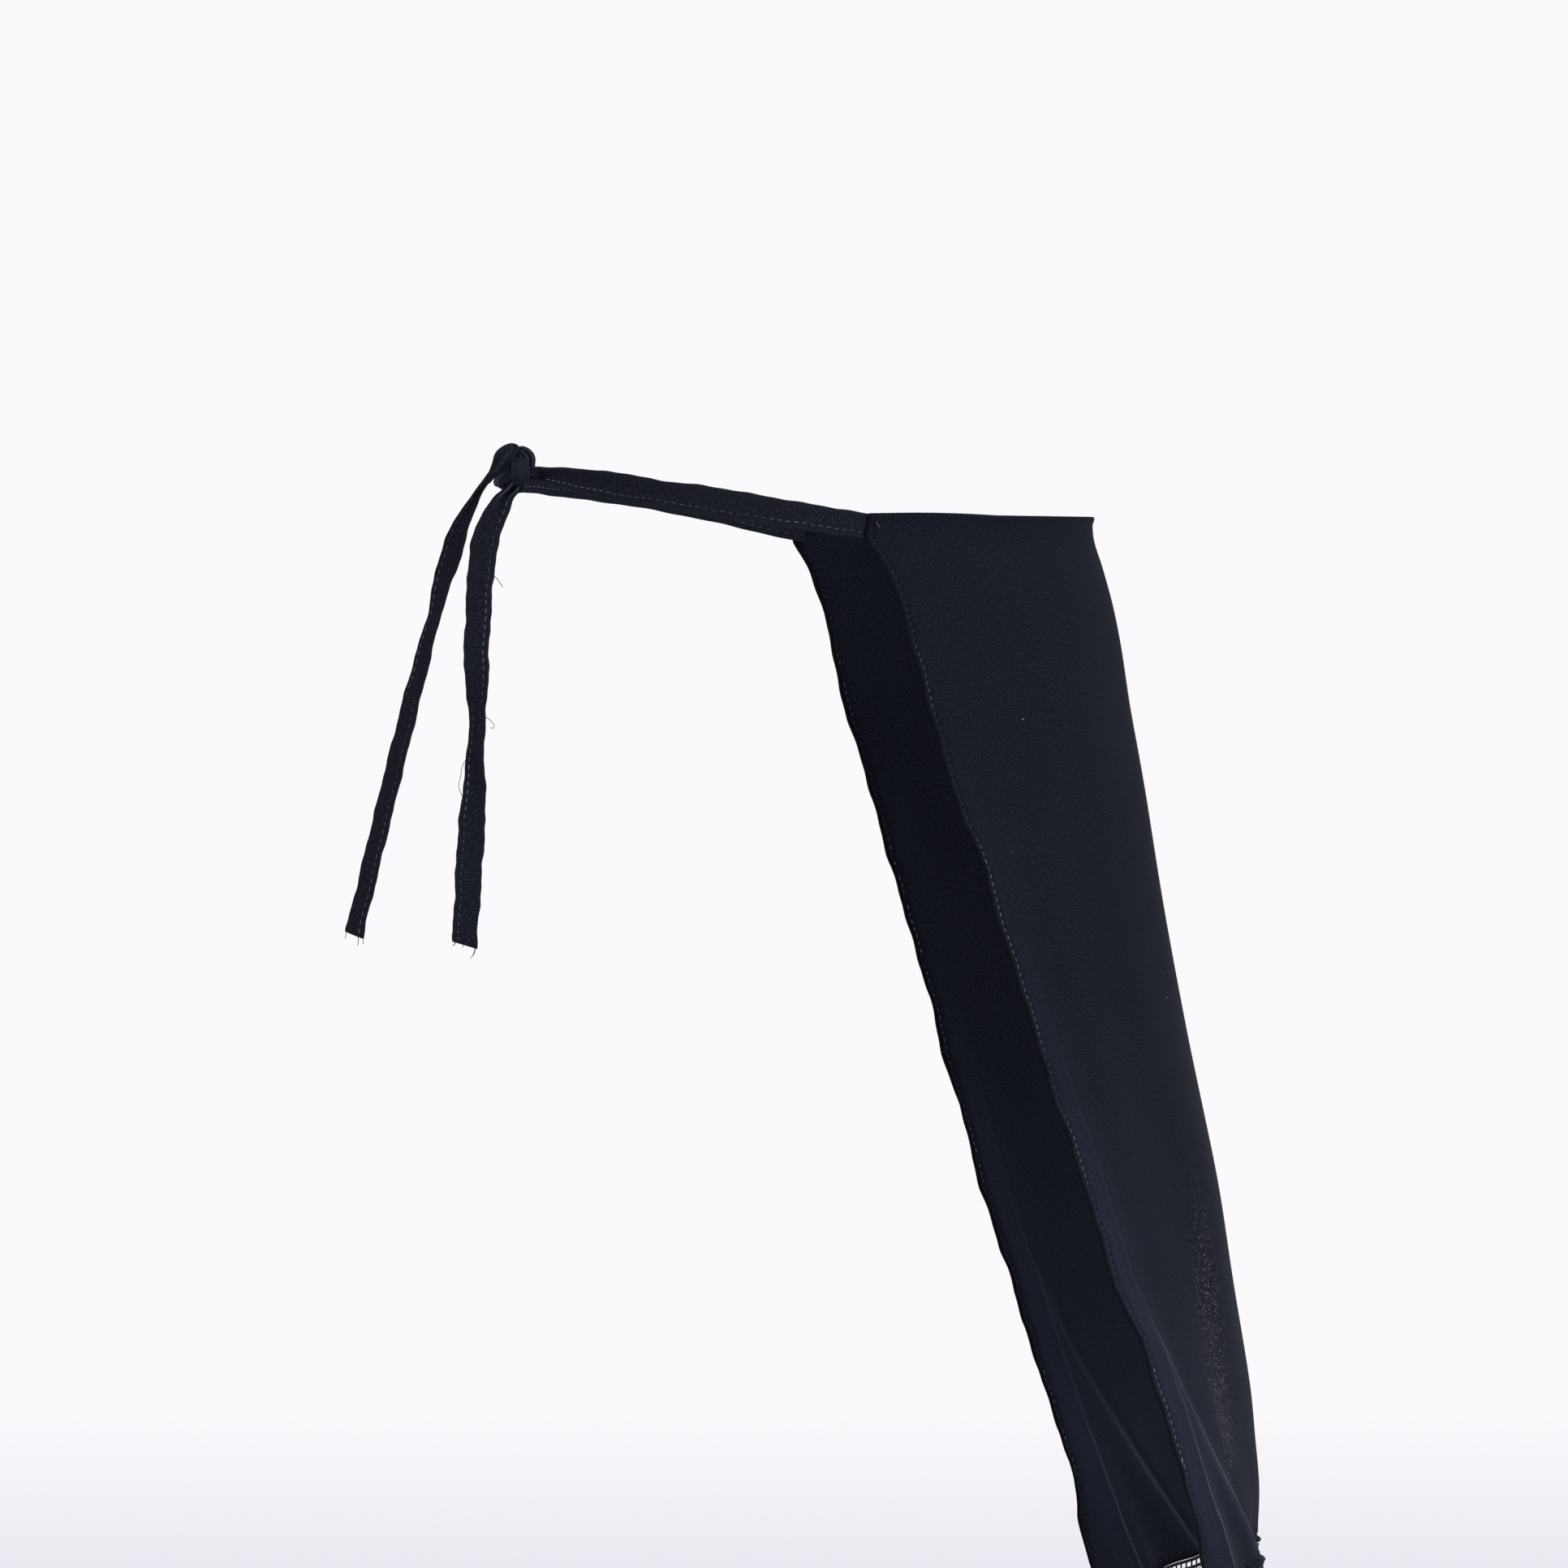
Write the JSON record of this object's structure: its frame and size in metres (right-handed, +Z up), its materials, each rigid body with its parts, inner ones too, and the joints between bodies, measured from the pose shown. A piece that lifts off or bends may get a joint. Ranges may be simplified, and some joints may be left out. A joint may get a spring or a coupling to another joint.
{
  "type": "niqab",
  "caption": "Face veil of dark crepe in its worn form, with flat ties knotted behind the head, hanging tie ends and a scalloped lace hem.",
  "frame": {"origin": "middle of the head opening, at the level of the ties", "axes": "+Z up, -Y the way the wearer faces, +X to the wearer's left"},
  "size_m": [0.239, 0.3372, 0.4566],
  "materials": {
    "crepe": "matte dark navy crepe, single layer",
    "tie_crepe": "matte dark navy crepe, folded and edge-stitched",
    "knot_crepe": "matte dark navy crepe, bunched",
    "lace": "matte dark navy lace, pierced"
  },
  "bodies": {
    "root": {"veil_panel": "crepe", "lace_trim": "lace", "tie_right": "tie_crepe", "tie_left": "tie_crepe", "knot": "knot_crepe", "tail_right": "tie_crepe", "tail_left": "tie_crepe"}
  },
  "joints": []
}
